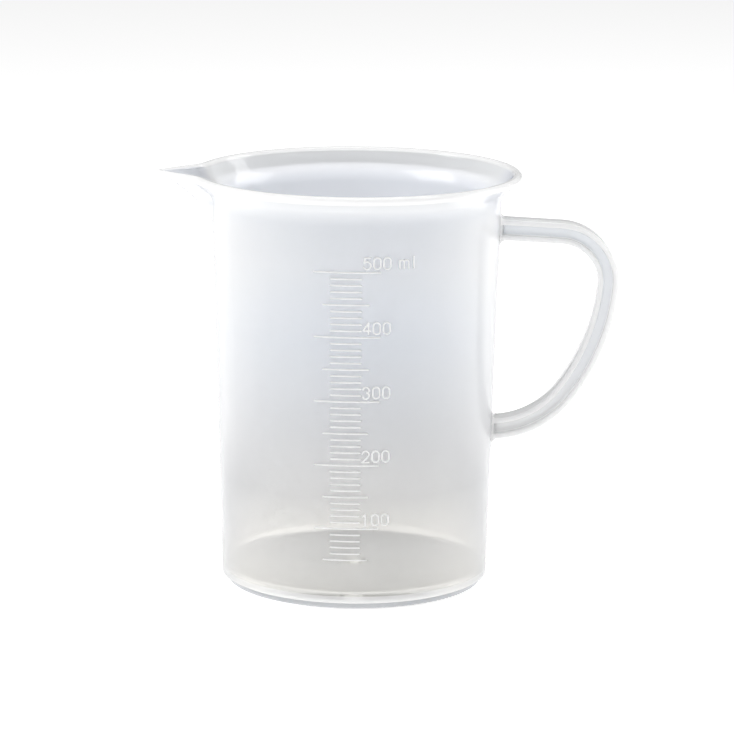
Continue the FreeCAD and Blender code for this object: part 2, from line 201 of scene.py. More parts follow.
PLASTIC_IOR = 1.49
SCATTER_SHARE = 1.0
SCATTER_DEPTH = 0.003        # metres
CLEAR_THIN = 0.55            # share of the light that passes the wall with no scatter
CLEAR_WEB = 0.25
CLEAR_THICK = 0.06
CLEAR_DRIFT = 0.06           # by how much it differs from place to place
LEAST_FACING = 0.1           # limits the way through the plastic at a grazing look

# Tint by height in metres: ivory in the thick base, grey above it, cool at the top.
# The ivory is the plastic's own; the grey lower body is painted shade and the lighter top painted
# light.
WALL_TINTS_AND_LIGHTING = ((0.000, (0.93, 0.905, 0.845, 1)), (0.010, (0.92, 0.905, 0.865, 1)),
              (0.018, (0.88, 0.87, 0.85, 1)), (0.034, (0.70, 0.70, 0.705, 1)),
              (0.048, (0.74, 0.745, 0.76, 1)), (0.080, (0.785, 0.81, 0.855, 1)),
              (0.103, (0.91, 0.93, 0.98, 1)), (0.120, (0.88, 0.90, 0.96, 1)))
# The web's grey is partly its thin plastic and partly painted shade in the recess between the
# flanges.
WEB_TINTS_AND_SHADE = ((0.04, (0.84, 0.84, 0.84, 1)), (0.07, (0.82, 0.835, 0.86, 1)),
             (0.11, (0.84, 0.865, 0.90, 1)))
# White of the thick plastic, also the colour of the painted light on slanted skin.
TINT_THICK_AND_LIT = (0.97, 0.97, 0.965, 1)
EDGE_SHADE_TINT = (0.50, 0.51, 0.53, 1)   # seen edge-on: painted shade, where the light also has the longest way
TINT_SHADE = (0.58, 0.60, 0.63, 1)

# Each range is (where the effect is nil, where it is full): heights in metres, slants from 0
# where the skin faces the eye to 1 where it is seen edge-on.
# Painted light: slanted skin whitens between two heights, partly for its longer way through the
# plastic.
SLANT_POWER = 1.5
SLANT_LIGHT_RISE = (0.02, 0.10)
SLANT_LIGHT_FALL = (0.117, 0.112)
# Painted shade along the outline where the skin is seen edge-on, less where the plastic is thick.
EDGE_SHADE_SHARE = 0.85
EDGE_SLANTS = (0.62, 0.97)
EDGE_LOSS_IN_THICK = 0.6
# Painted shade on the slanted sides of the lower body.
LOW_EDGE_SHADE_SHARE = 0.75
LOW_EDGE_HEIGHTS = (0.06, 0.02)
LOW_EDGE_SLANTS = (0.2, 0.9)

CLOUD = ((1, 1, 0.35), 38, 3)       # each noise is (stretch per axis, scale, detail)
FLOW = ((1, 1, 0.12), 55, 1)
SPECKS = ((1, 1, 1), 1400, 2)
WEAR = ((1, 1, 1), 300, 2)
FLOW_DEPTH = 0.00006                # metres
SPECK_DEPTH = 0.000002
CLOUD_RANGE = (0.3, 0.7)
GLOSS = (0.03, 0.07)
SCALE_GLOSS = (0.25, 0.5)
SCALE_WHITE = (0.99, 0.99, 0.99, 1)
SCALE_WORN = (0.93, 0.93, 0.93, 1)


class Graph:
    """A new material with short ways to add its nodes; a value is a number or a socket."""

    def __init__(self, name):
        self.material = bpy.data.materials.new(name)
        self.material.use_nodes = True
        self.nodes = self.material.node_tree.nodes
        self.nodes.clear()

    def link(self, source, target):
        self.material.node_tree.links.new(source, target)

    def surface(self):
        """A Principled shader that is already linked to the output."""
        skin = self.nodes.new("ShaderNodeBsdfPrincipled")
        output = self.nodes.new("ShaderNodeOutputMaterial")
        self.link(skin.outputs[0], output.inputs["Surface"])
        return skin

    def place(self):
        return self.nodes.new("ShaderNodeTexCoord").outputs["Object"]

    def height(self):
        split = self.nodes.new("ShaderNodeSeparateXYZ")
        self.link(self.place(), split.inputs[0])
        return split.outputs["Z"]

    def attribute(self, label):
        node = self.nodes.new("ShaderNodeAttribute")
        node.attribute_name = label
        return node.outputs["Fac"]

    def math(self, operation, *values):
        node = self.nodes.new("ShaderNodeMath")
        node.operation = operation
        for socket, value in zip(node.inputs, values):
            if isinstance(value, (int, float)):
                socket.default_value = value
            else:
                self.link(value, socket)
        return node.outputs[0]

    def product(self, first, *others):
        for other in others:
            first = self.math("MULTIPLY", first, other)
        return first

    def mix(self, factor, first, second):
        """A colour between two; each is a tuple or a socket."""
        node = self.nodes.new("ShaderNodeMix")
        node.data_type = "RGBA"
        self.link(factor, node.inputs[0])
        for socket, colour in ((node.inputs[6], first), (node.inputs[7], second)):
            if isinstance(colour, tuple):
                socket.default_value = colour
            else:
                self.link(colour, socket)
        return node.outputs[2]

    def spread(self, value, source, target):
        """The value moved from one range to another, and held inside it."""
        node = self.nodes.new("ShaderNodeMapRange")
        self.link(value, node.inputs["Value"])
        node.inputs["From Min"].default_value, node.inputs["From Max"].default_value = source
        node.inputs["To Min"].default_value, node.inputs["To Max"].default_value = target
        return node.outputs[0]

    def ramp(self, value, source):
        """0 at the range's first end and 1 at its last, with soft ends."""
        result = self.spread(value, source, (0, 1))
        result.node.interpolation_type = "SMOOTHSTEP"
        return result

    def noise(self, stretch, scale, detail):
        """Noise over the object's own coordinates."""
        mapping = self.nodes.new("ShaderNodeMapping")
        mapping.inputs["Scale"].default_value = stretch
        self.link(self.place(), mapping.inputs["Vector"])
        node = self.nodes.new("ShaderNodeTexNoise")
        node.inputs["Scale"].default_value = scale
        node.inputs["Detail"].default_value = detail
        self.link(mapping.outputs[0], node.inputs["Vector"])
        return node.outputs["Fac"]

    def moulded_normal(self):
        """Faint flow waves and fine specks of a moulded face."""
        flow = self.nodes.new("ShaderNodeBump")
        flow.inputs["Distance"].default_value = FLOW_DEPTH
        self.link(self.noise(*FLOW), flow.inputs["Height"])
        specks = self.nodes.new("ShaderNodeBump")
        specks.inputs["Distance"].default_value = SPECK_DEPTH
        self.link(self.noise(*SPECKS), specks.inputs["Height"])
        self.link(flow.outputs[0], specks.inputs["Normal"])
        return specks.outputs[0]

    def tint_by_height(self, height, tints_and_lighting):
        """A colour that changes with the height above the table."""
        top = tints_and_lighting[-1][0]
        node = self.nodes.new("ShaderNodeValToRGB")
        self.link(self.math("DIVIDE", height, top), node.inputs["Fac"])
        stops = node.color_ramp.elements
        while len(stops) < len(tints_and_lighting):
            stops.new(0.5)
        for stop, (at, colour) in zip(stops, tints_and_lighting):
            stop.position = at / top
            stop.color = colour
        return node.outputs["Color"]


def passing_share(graph, slant, thick, cloud, clear_thin):
    """How much light passes with no scatter, by the length of its way through the plastic."""
    facing = graph.math("MAXIMUM", graph.math("SUBTRACT", 1.0, slant), LEAST_FACING)
    way = graph.math("DIVIDE", 1.0, facing)
    loss = graph.math("MULTIPLY", clear_thin - CLEAR_THICK, thick)
    drift = graph.math("MULTIPLY", graph.math("SUBTRACT", 0.5, cloud), CLEAR_DRIFT)
    clear = graph.math("ADD", graph.math("SUBTRACT", clear_thin, loss), drift)
    through = graph.math("POWER", clear, way)
    # light on its way out of the plastic has had its scatter on the way in
    leaving = graph.nodes.new("ShaderNodeNewGeometry").outputs["Backfacing"]
    return graph.math("MAXIMUM", through, leaving)


def plastic_colour(graph, slant, thick, tints_and_lighting):
    """The tint by height with painted shade and light, white where it is thick, painted light where
    it is slanted, and painted shade at its very edges, on its low sides and where little light
    reaches.
    """
    height = graph.height()
    # painted light on slanted skin, between two heights
    slant_light = graph.product(graph.math("POWER", slant, SLANT_POWER),
                            graph.ramp(height, SLANT_LIGHT_RISE),
                            graph.ramp(height, SLANT_LIGHT_FALL))
    white = graph.mix(graph.math("MAXIMUM", slant_light, thick),
                      graph.tint_by_height(height, tints_and_lighting), TINT_THICK_AND_LIT)
    # painted shade along the outline, less where the plastic is thick
    thin = graph.math("SUBTRACT", 1.0, graph.math("MULTIPLY", EDGE_LOSS_IN_THICK, thick))
    edge_shade = graph.product(EDGE_SHADE_SHARE, graph.ramp(slant, EDGE_SLANTS), thin)
    # painted shade on the slanted sides of the lower body
    low_edge_shade = graph.product(LOW_EDGE_SHADE_SHARE, graph.ramp(height, LOW_EDGE_HEIGHTS),
                             graph.ramp(slant, LOW_EDGE_SLANTS))
    edge_shaded = graph.mix(graph.math("MAXIMUM", edge_shade, low_edge_shade), white, EDGE_SHADE_TINT)
    return graph.mix(graph.attribute("shade"), edge_shaded, TINT_SHADE)


def polypropylene(name, clear_thin, tints_and_lighting):
    """Milky translucent plastic: it passes light where it is thin and whitens where it is thick.

    The mesh's own attribute "milk" runs from 0 in the thin wall to 1 in the rim and the flanges,
    and "shade" from 0 to 1 where little light reaches.
    """
    graph = Graph(name)
    skin = graph.surface()
    skin.inputs["IOR"].default_value = PLASTIC_IOR
    skin.inputs["Subsurface Weight"].default_value = SCATTER_SHARE
    skin.inputs["Subsurface Radius"].default_value = (1.0, 1.0, 1.0)
    skin.inputs["Subsurface Scale"].default_value = SCATTER_DEPTH
    thick = graph.attribute("milk")
    cloud = graph.noise(*CLOUD)
    layer = graph.nodes.new("ShaderNodeLayerWeight")
    layer.inputs["Blend"].default_value = 0.5
    slant = layer.outputs["Facing"]
    graph.link(passing_share(graph, slant, thick, cloud, clear_thin),
               skin.inputs["Transmission Weight"])
    graph.link(plastic_colour(graph, slant, thick, tints_and_lighting), skin.inputs["Base Color"])
    graph.link(graph.spread(cloud, CLOUD_RANGE, GLOSS), skin.inputs["Roughness"])
    graph.link(graph.moulded_normal(), skin.inputs["Normal"])
    return graph.material


def raised_plastic(name):
    """The scale: the same plastic, whiter because its small faces scatter the light."""
    graph = Graph(name)
    skin = graph.surface()
    wear = graph.noise(*WEAR)
    graph.link(graph.mix(wear, SCALE_WHITE, SCALE_WORN), skin.inputs["Base Color"])
    graph.link(graph.spread(wear, (0, 1), SCALE_GLOSS), skin.inputs["Roughness"])
    graph.link(graph.moulded_normal(), skin.inputs["Normal"])
    return graph.material


wall_plastic = polypropylene("milky_wall", CLEAR_THIN, WALL_TINTS_AND_LIGHTING)
handle_plastic = polypropylene("milky_handle", CLEAR_WEB, WEB_TINTS_AND_SHADE)
scale_material = raised_plastic("raised_scale")

# ------------------------------------------------------------------ shell

LEDGE = (RIM_RADIUS - 0.75, JUG_HEIGHT - 2.25)      # where the flare meets the lip outside
LIP_END = (RIM_RADIUS - 2.95, JUG_HEIGHT - 1.2)     # and inside
STUB_LOW = 1.5
RECESS_TOP = 3.1
RECESS_RADIUS = 2.9

underside = rounded([
    (0, STUB_LOW, 0),
    (STUB_RADIUS - 0.3, STUB_LOW, 0.25),
    (STUB_RADIUS - 0.1, RECESS_TOP, 0.25),
    (RECESS_RADIUS, RECESS_TOP, 0.3),
    (RECESS_RADIUS + 0.5, FOOT_HEIGHT, 0.35),
    (FOOT_INNER_RADIUS - 0.4, FOOT_HEIGHT, 0.5),
    (FOOT_INNER_RADIUS, 0, 0.35),
    (FOOT_RADIUS, 0, 0.4),
    (FOOT_RADIUS, FOOT_HEIGHT, 0.2),
    (wall_radius(FOOT_HEIGHT), FOOT_HEIGHT, 0.45),
    (wall_radius(BAND_TOP), BAND_TOP, 0),
    (wall_radius(BAND_TOP + BAND_FADE), BAND_TOP + BAND_FADE, 0),
    (wall_radius(SPOUT_START), SPOUT_START, 0),
], steps=4)
outer_flare = rounded([
    (wall_radius(SPOUT_START), SPOUT_START, 0),
    (wall_radius(FLARE_CORNER_HEIGHT), FLARE_CORNER_HEIGHT, FLARE_BEND),
    (*LEDGE, 0),
], steps=12)
lip = rounded([
    (*LEDGE, 0),
    (RIM_RADIUS - 0.22, JUG_HEIGHT - 1.85, 0.3),
    (RIM_RADIUS + 0.12, JUG_HEIGHT - 0.9, 0.8),
    (RIM_RADIUS - 1.0, JUG_HEIGHT + 0.02, 0.6),
    (RIM_RADIUS - 2.3, JUG_HEIGHT - 0.1, 0.8),
    (*LIP_END, 0),
], steps=5)
inner_flare = rounded([
    (*LIP_END, 0),
    (wall_radius(INNER_CORNER_HEIGHT) - WALL, INNER_CORNER_HEIGHT, FLARE_BEND + WALL),
    (wall_radius(SPOUT_START) - WALL, SPOUT_START, 0),
], steps=12)
inside = rounded([
    (wall_radius(SPOUT_START) - WALL, SPOUT_START, 0),
    (wall_radius(FLOOR_TOP) - WALL, FLOOR_TOP, FLOOR_FILLET),
    (wall_radius(FLOOR_TOP) - WALL - FLOOR_FILLET - 0.5, FLOOR_TOP, 0),
    (GATE_RADIUS + 0.25, FLOOR_TOP, 0.6),
    (GATE_RADIUS - 0.9, GATE_TOP, 0.7),
    (0, GATE_TOP + 0.1, 0),
], steps=6)

# The same outlines where the spout is longest: a keel, the tip and the bottom of the channel.
lean = math.atan(TAPER)
keel_foot_centre = (Vector((wall_radius(SPOUT_START), SPOUT_START))
                    + Vector((math.cos(lean), -math.sin(lean))) * KEEL_FOOT_RADIUS)
keel_centre = (keel_foot_centre + Vector((-math.cos(KEEL_FOOT_TURN), math.sin(KEEL_FOOT_TURN)))
               * (KEEL_FOOT_RADIUS - KEEL_RADIUS))


def keel(depth_at_wall, depth_at_tip, reach):
    """The keel's curve from the wall to a distance from the axis, at a depth inside the plastic."""
    last = math.acos((keel_centre.x - reach) / (KEEL_RADIUS + depth_at_tip))
    points = []
    for centre, radius, start, end in (
            (keel_foot_centre, KEEL_FOOT_RADIUS, lean, KEEL_FOOT_TURN),
            (keel_centre, KEEL_RADIUS, KEEL_FOOT_TURN, last)):
        for step in range(KEEL_STEPS + 1):
            turn = start + (end - start) * step / KEEL_STEPS
            share = (turn - lean) / (last - lean)
            depth = depth_at_wall + (depth_at_tip - depth_at_wall) * share
            points.append(centre + Vector((-math.cos(turn), math.sin(turn))) * (radius + depth))
    return points


keel_outer = keel(0.0, 0.0, SPOUT_REACH - 0.9)
keel_inner = keel(WALL, TIP_THICKNESS, SPOUT_REACH - 1.9)
tip = rounded([
    (*keel_outer[-1], 0),
    (SPOUT_REACH - 0.3, keel_outer[-1].y + 0.35, 0.3),
    (SPOUT_REACH, keel_outer[-1].y + 0.75, 0.3),
    (SPOUT_REACH - 0.35, keel_outer[-1].y + 1.15, 0.3),
    (SPOUT_REACH - 1.3, keel_inner[-1].y + 0.35, 0.3),
    (*keel_inner[-1], 0),
], steps=5)

# Milkiness by place, where 1 is the lip, 0 is the wall and less than 0 is clearer than the wall.
FOOT_MILK = 0.5
BAND_MILK = 0.55
GATE_MILK = -0.8
CORNER_MILK = -0.85
FLOOR_MILK = 0.6
FLARE_MILK = 0.1
OUTER_LIP_DEPTH = 2.6
INNER_LIP_DEPTH = 0.9
LIP_CHANGE = 0.6             # over this height the flare turns into the lip
FLARE_FOOT = JUG_HEIGHT - 9.0
FLARE_RISE = 6.5

FOOT_SHADE = 0.9
CHANNEL_SHADE = 0.65
CHANNEL_START = 0.6          # how far out of the round wall the channel's shade starts
CHANNEL_CHANGE = 2.0
NECK_SHADE = 0.75
NECK_SHADE_FOOT = 80.0
NECK_SHADE_RISE = 20.0
NECK_SHADE_TOP = 119.5       # above this height the flare faces the light again
NECK_SHADE_FALL = 4.0
LIP_TOP_DEPTH = 0.5

LONGEST_RUN = 6.0            # between two points of the outline
FLARE_POINTS = 30
FOLD_COLUMNS = 20            # from the keel to the spout's fold
SIDE_COLUMNS = 24            # from the fold to where the spout ends
PLAIN_COLUMNS = 74           # round the rest of the vessel
FOLD_AT_WALL = math.radians(7)
FOLD_AT_LIP = math.radians(14.5)
SPOUT_SPREAD = math.radians(32)   # azimuth from the keel where the spout has no more effect
SOFT_OUTSIDE = (0.4, 2.8)    # how soft the spout's corners are, at the wall and at the lip
SOFT_INSIDE = (1.2, 2.8)
PAST_FOLD = 0.7              # how fast the spout gives way to the round wall past its fold
LEAST_REACH = 0.02


def milk_at(point, outside):
    """The milkiness of the shell's skin there, from 0 in the wall to 1 in the lip."""
    if point.y > FLARE_FOOT:
        lip_depth = OUTER_LIP_DEPTH if outside else INNER_LIP_DEPTH
        in_flare = FLARE_MILK * (point.y - FLARE_FOOT) / FLARE_RISE
        in_lip = (point.y - (JUG_HEIGHT - lip_depth)) / LIP_CHANGE
        return min(max(in_flare, in_lip), 1.0)
    if point.y < FOOT_HEIGHT - 0.01:
        return FOOT_MILK
    if outside:
        return BAND_MILK if point.y <= BAND_TOP else 0.0
    if point.x < GATE_RADIUS + 0.3:
        return GATE_MILK if point.y > FLOOR_TOP else FLOOR_MILK
    if point.y > FLOOR_TOP + FLOOR_FILLET + 0.1:
        return 0.0
    in_corner = point.x > wall_radius(FLOOR_TOP) - WALL - FLOOR_FILLET - 0.6
    return CORNER_MILK if in_corner and point.y > FOOT_HEIGHT + 0.1 else FLOOR_MILK


def shade_at(station, radius):
    """How little light reaches the shell there: under the foot, and inside the neck and spout."""
    height = station.plain.y
    if height < FOOT_HEIGHT - 0.01:
        return FOOT_SHADE
    if station.outside or height > JUG_HEIGHT - LIP_TOP_DEPTH:
        return 0.0
    in_channel = CHANNEL_SHADE * (radius - station.plain.x - CHANNEL_START) / CHANNEL_CHANGE
    in_neck = NECK_SHADE * min((height - NECK_SHADE_FOOT) / NECK_SHADE_RISE,
                               (NECK_SHADE_TOP - height) / NECK_SHADE_FALL)
    if in_channel > in_neck:
        return min(max(in_channel, 0.0), CHANNEL_SHADE)
    return min(max(in_neck, 0.0), NECK_SHADE)


class Station:
    """One point of the shell's outline, and where it goes at the keel of the spout."""

    def __init__(self, plain, outside, keel_point=None, share=0.0, softness=0.5):
        self.plain = plain
        self.outside = outside
        self.milk = milk_at(plain, outside)
        self.keel_point = keel_point or plain
        self.share = share
        self.softness = softness


def stations():
    """The whole outline, from under the gate round the rim to the middle of the floor."""
    result = [Station(point, point.x > wall_radius(point.y) - WALL / 2)
              for point in filled(underside, LONGEST_RUN)[:-1]]
    for index, (plain, far) in enumerate(zip(walk(outer_flare, FLARE_POINTS),
                                             walk(keel_outer, FLARE_POINTS))):
        share = index / (FLARE_POINTS - 1)
        softness = SOFT_OUTSIDE[0] + (SOFT_OUTSIDE[1] - SOFT_OUTSIDE[0]) * share ** 3
        result.append(Station(plain, True, far, share, softness))
    for plain, far in list(zip(lip, tip))[1:-1]:
        result.append(Station(plain, True, far, 1.0, SOFT_OUTSIDE[1]))
    for index, (plain, far) in enumerate(zip(walk(inner_flare, FLARE_POINTS),
                                             walk(keel_inner[::-1], FLARE_POINTS))):
        share = 1 - index / (FLARE_POINTS - 1)
        softness = SOFT_INSIDE[0] + (SOFT_INSIDE[1] - SOFT_INSIDE[0]) * share
        result.append(Station(plain, False, far, share, softness))
    result += [Station(point, False) for point in filled(inside, LONGEST_RUN)[1:]]
    return result


def soft_positive(value, softness):
    """max(value, 0) with its corner rounded over softness on each side."""
    overlap = max(softness - abs(value), 0.0) / softness
    return max(value, 0.0) + overlap * overlap * softness / 4


def shell_point(station, fold_share, beyond):
    """Point of the shell; fold_share runs 0..1 from keel to fold, then beyond 0..1 past it."""
    fold = FOLD_AT_WALL + (FOLD_AT_LIP - FOLD_AT_WALL) * station.share ** 2
    angle = fold * fold_share + (SPOUT_SPREAD - fold) * beyond
    near, far = station.plain, station.keel_point
    reach = far.x - near.x
    if reach < LEAST_REACH:
        return near.x, near.y, angle
    if angle <= fold:
        slant = (far.x - near.x * math.cos(fold)) / math.sin(fold)
        lead = far.x - slant * math.sin(angle) - near.x * math.cos(angle)
    else:
        lead = -PAST_FOLD * reach * (angle - fold) / fold
    blend = soft_positive(lead, min(station.softness, reach)) / reach
    radius = near.x + reach * blend
    height = near.y + (far.y - near.y) * blend
    return radius, height, angle


def shell():
    """Vertices, faces, milk and shade of the vessel, its rim, spout, floor and foot."""
    columns = [(step / FOLD_COLUMNS, 0.0) for step in range(FOLD_COLUMNS + 1)]
    columns += [(1.0, step / SIDE_COLUMNS) for step in range(1, SIDE_COLUMNS + 1)]
    outline = stations()
    vertices, grid, milk, shade = [], [], [], []

    def ring(position):
        column = []
        for station in outline:
            radius, height, angle = position(station)
            if station.plain.x < 1e-6:
                column.append(None)
                continue
            column.append(len(vertices))
            vertices.append((-radius * math.cos(angle), radius * math.sin(angle), height))
            milk.append(station.milk)
            shade.append(shade_at(station, radius))
        grid.append(column)

    for fold_share, beyond in columns:
        ring(lambda s: shell_point(s, fold_share, beyond))
    for index in range(1, PLAIN_COLUMNS):
        angle = SPOUT_SPREAD + 2 * (math.pi - SPOUT_SPREAD) * index / PLAIN_COLUMNS
        ring(lambda s: (s.plain.x, s.plain.y, angle))
    for fold_share, beyond in columns[:0:-1]:
        def mirrored(station):
            radius, height, angle = shell_point(station, fold_share, beyond)
            return radius, height, -angle
        ring(mirrored)
    poles = {}
    for index in (0, len(outline) - 1):
        poles[index] = len(vertices)
        vertices.append((0, 0, outline[index].plain.y))
        milk.append(outline[index].milk)
        shade.append(0.0)
    faces = []
    for column, following in zip(grid, grid[1:] + grid[:1]):
        for index in range(len(outline) - 1):
            corners = [column[index], following[index], following[index + 1], column[index + 1]]
            if corners[0] is None:
                corners = [poles[index]] + corners[2:]
            elif corners[2] is None:
                corners = corners[:2] + [poles[index + 1]]
            faces.append(tuple(corners))
    return vertices, faces, milk, shade


shell_vertices, shell_faces, shell_milk, shell_shade = shell()
make_object("jug_shell", shell_vertices, shell_faces, wall_plastic, "translucent_wall",
            "vessel_wall", "rim_lip", "pouring_spout", "vessel_floor", "foot_ring", "gate_boss",
            "sprue_stub", milk=shell_milk, shade=shell_shade)

# ------------------------------------------------------------------ handle

ARM_SLOPE = math.radians(3.1)
CORNER_RADIUS = 18.15
CORNER_HEIGHT = 92.36        # of the centre of the upper bend
SIDE_RADIUS = 68.5
LOWER_RADIUS = 30.5
SIDE_START = math.radians(-5.5)
SIDE_END = math.radians(-36.9)
LOWER_END = math.radians(-78)
ARM_START = 48.0             # the arm's plain stretch starts this far from the jug's axis
CLEARANCES = (-0.5, 0.0, 0.08, 0.2, 0.4, 0.5, 0.62, 0.8, 1.0, 1.3, 1.7, 2.4, 3.4)
ARM_STEPS = 6
FULL_SECTION = 99.0          # a distance from the wall at which the root has no more effect
OUTER_FLANGE = 1.65
WEB_END = 4.75
HANDLE_DEPTH = 6.3
ROOT_FILLET = 1.7
WEB_MILK = 0.0
ROOT_MILK = -3.0             # the two ends lie inside the wall and are clear, as one plastic is

corner_centre = Vector((HANDLE_REACH - CORNER_RADIUS, CORNER_HEIGHT))
ARM_ANGLE = math.pi / 2 - ARM_SLOPE
side_centre = corner_centre - Vector((math.cos(SIDE_START), math.sin(SIDE_START))) * (
    SIDE_RADIUS - CORNER_RADIUS)
lower_centre = side_centre + Vector((math.cos(SIDE_END), math.sin(SIDE_END))) * (
    SIDE_RADIUS - LOWER_RADIUS)


def handle_milk(across, depth):
    """The milkiness of the handle's skin, for the thin web and for the flanges."""
    in_web = abs(across) < WEB_HALF_WIDTH + 0.3 and OUTER_FLANGE - 0.2 < depth < WEB_END + 0.2
    return WEB_MILK if in_web else 1.0


def handle_section(clearance):
    """Outline of the handle as (across, depth), at a distance from the vessel's wall."""
    flare = 0.0
    if clearance < ROOT_FILLET:
        inset = ROOT_FILLET - max(clearance, 0.0)
        flare = ROOT_FILLET - math.sqrt(ROOT_FILLET ** 2 - inset ** 2)
    half = HANDLE_HALF_WIDTH + flare
    groove_end = min(max((clearance - 0.5) / 0.5, 0.02), 1.0)
    web = half - (half - WEB_HALF_WIDTH) * groove_end
    top, bottom = -flare, HANDLE_DEPTH + flare
    floor_round = min(0.55, 0.45 * (half - web) + 0.001)
    lip_round = min(0.3, 0.45 * (half - web) + 0.001)
    right = [
        (0, top, 0), (half, top, 0.45), (half, OUTER_FLANGE, lip_round),
        (web, OUTER_FLANGE, floor_round), (web, WEB_END, floor_round),
        (half, WEB_END, lip_round), (half, bottom, 0.45), (0, bottom, 0),
    ]
    points = rounded(right, steps=4)
    left = [Vector((-p.x, p.y)) for p in points[-2:0:-1]]
    return points + left


def arm_height(depth, x):
    """The height of the upper arm at a depth below its outer face."""
    return corner_centre.y + ((CORNER_RADIUS - depth) - (x - corner_centre.x)
                              * math.cos(ARM_ANGLE)) / math.sin(ARM_ANGLE)


def lower_height(depth, x):
    """The height of the handle's lower bend at a depth inside its outer face."""
    radius = LOWER_RADIUS - depth
    return lower_centre.y - math.sqrt(radius ** 2 - (x - lower_centre.x) ** 2)


def root_ring(clearance, height_at):
    """A ring of the handle that follows the wall at a distance from it."""
    ring = []
    for across, depth in handle_section(clearance):
        x = wall_radius(JUG_HEIGHT / 2)
        for _ in range(3):
            height = height_at(depth, x)
            x = math.sqrt(wall_radius(height) ** 2 - across ** 2) + clearance
        ring.append((x, across, height_at(depth, x)))
    return ring


def radial_ring(centre, radius, angle, slide=0.0):
    """A ring square to a bend of the handle, or slid back along the straight arm before it."""
    direction = Vector((math.cos(angle), math.sin(angle)))
    along = Vector((direction.y, -direction.x)) * slide
    ring = []
    for across, depth in handle_section(FULL_SECTION):
        point = centre + direction * (radius - depth) - along
        ring.append((point.x, across, point.y))
    return ring


def handle():
    """Vertices, faces and milk of the handle, from its upper root round to its lower one."""
    rings = [root_ring(clearance, arm_height) for clearance in CLEARANCES]
    arm_left = corner_centre.x + CORNER_RADIUS * math.cos(ARM_ANGLE) - ARM_START
    for step in range(ARM_STEPS):
        rings.append(radial_ring(corner_centre, CORNER_RADIUS, ARM_ANGLE,
                                 arm_left * (1 - step / ARM_STEPS)))
    for centre, radius, start, end, steps in (
            (corner_centre, CORNER_RADIUS, ARM_ANGLE, SIDE_START, 36),
            (side_centre, SIDE_RADIUS, SIDE_START, SIDE_END, 30),
            (lower_centre, LOWER_RADIUS, SIDE_END, LOWER_END, 24)):
        for step in range(steps):
            rings.append(radial_ring(centre, radius, start + (end - start) * step / steps))
    rings += [root_ring(clearance, lower_height) for clearance in CLEARANCES[::-1]]
    inside_wall = [ROOT_MILK] * len(rings[0])
    milk = [handle_milk(*point) for point in handle_section(FULL_SECTION)] * (len(rings) - 2)
    return *lofted(rings), inside_wall + milk + inside_wall


handle_vertices, handle_faces, flange_milk = handle()
make_object("handle", handle_vertices, handle_faces, handle_plastic, "translucent_solid",
            "handle_outer_flange", "handle_web", "handle_inner_flange", "handle_upper_root",
            "handle_lower_root", milk=flange_milk)

# ------------------------------------------------------------------ scale

MARK_FOOT_WIDTH = 0.5        # at the wall; the rounded ridge that the light picks out is narrower
MARK_WIDTH = 0.46
MARK_RISE = 0.22
MARK_SINK = 0.06
MARK_STEP = 0.8
RIDGE_STEPS = 8
END_STEPS = 4
TIP_CUT = 0.35               # a ridge's end is cut this share of a step from its tip
mark_low = box_mm("long_marks")[0][2] + MARK_FOOT_WIDTH / 2
mark_high = box_mm("long_marks")[1][2] - MARK_FOOT_WIDTH / 2
PITCH = (mark_high - mark_low) / 40


def mark_height(volume):
    """The height of a volume's mark; the marks are evenly spaced."""
    return mark_low + PITCH * (volume - 100) / 10


def ridge_end():
    """Where the sections of a ridge's round end are, from its tip, and how big they are."""
    turns = [math.pi / 2 * (step + TIP_CUT) / (END_STEPS + TIP_CUT) for step in range(END_STEPS)]
    return [(math.cos(turn), math.sin(turn)) for turn in turns]


def ridge(points, width, rise):
    """A half-round ridge along a curve of (across, up), as rings of (across, up, out)."""
    rings = []
    last = len(points) - 1
    for index, point in enumerate(points):
        along = (points[min(index + 1, last)] - points[max(index - 1, 0)]).normalized()
        side = Vector((-along.y, along.x))
        stops = [(0.0, 1.0)]
        if index == 0:
            stops = [(-shift, size) for shift, size in ridge_end()] + stops
        elif index == last:
            stops += ridge_end()[::-1]
        for shift, size in stops:
            centre = point + along * (shift * width / 2)
            ring = []
            for step in range(RIDGE_STEPS + 1):
                turn = math.pi * step / RIDGE_STEPS
                ring.append((*(centre + side * (width / 2 * size * math.cos(turn))),
                             rise * size * math.sin(turn)))
            ring.append((*(centre - side * (width / 2 * size)), -MARK_SINK))
            ring.append((*(centre + side * (width / 2 * size)), -MARK_SINK))
            rings.append(ring)
    return rings


def on_wall(across, up, out):
    """A point given along the wall, up it and out of it, in the jug's own frame."""
    angle = across / wall_radius(up) - math.pi / 2
    radius = wall_radius(up) + out
    return radius * math.cos(angle), radius * math.sin(angle), up


def joined(meshes):
    """One list of vertices and one of faces from several."""
    vertices, faces = [], []
    for new_vertices, new_faces in meshes:
        faces += [tuple(i + len(vertices) for i in face) for face in new_faces]
        vertices += new_vertices
    return vertices, faces


def marks(name, node, volumes, first_angle, last_angle):
    """The lines of some volumes, between two angles from the front in degrees."""
    lines = []
    for volume in volumes:
        height = mark_height(volume)
        radius = wall_radius(height)
        start, end = (math.radians(a) * radius for a in (first_angle, last_angle))
        steps = max(4, round((end - start) / MARK_STEP))
        line = [Vector((start + (end - start) * k / steps, height)) for k in range(steps + 1)]
        rings = [[on_wall(*p) for p in ring] for ring in ridge(line, MARK_WIDTH, MARK_RISE)]
        lines.append(lofted(rings))
    make_object(name, *joined(lines), scale_material, "raised_scale", node)


VOLUMES = range(50, 501, 10)
marks("scale_hundreds", "long_marks", [v for v in VOLUMES if v % 100 == 0], -16.6, 9.4)
marks("scale_fifties", "middle_marks", [v for v in VOLUMES if v % 100 == 50], -12.95, 5.0)
marks("scale_tens", "short_marks", [v for v in VOLUMES if v % 50], -10.0, 2.0)

# ------------------------------------------------------------------ numbers of the scale

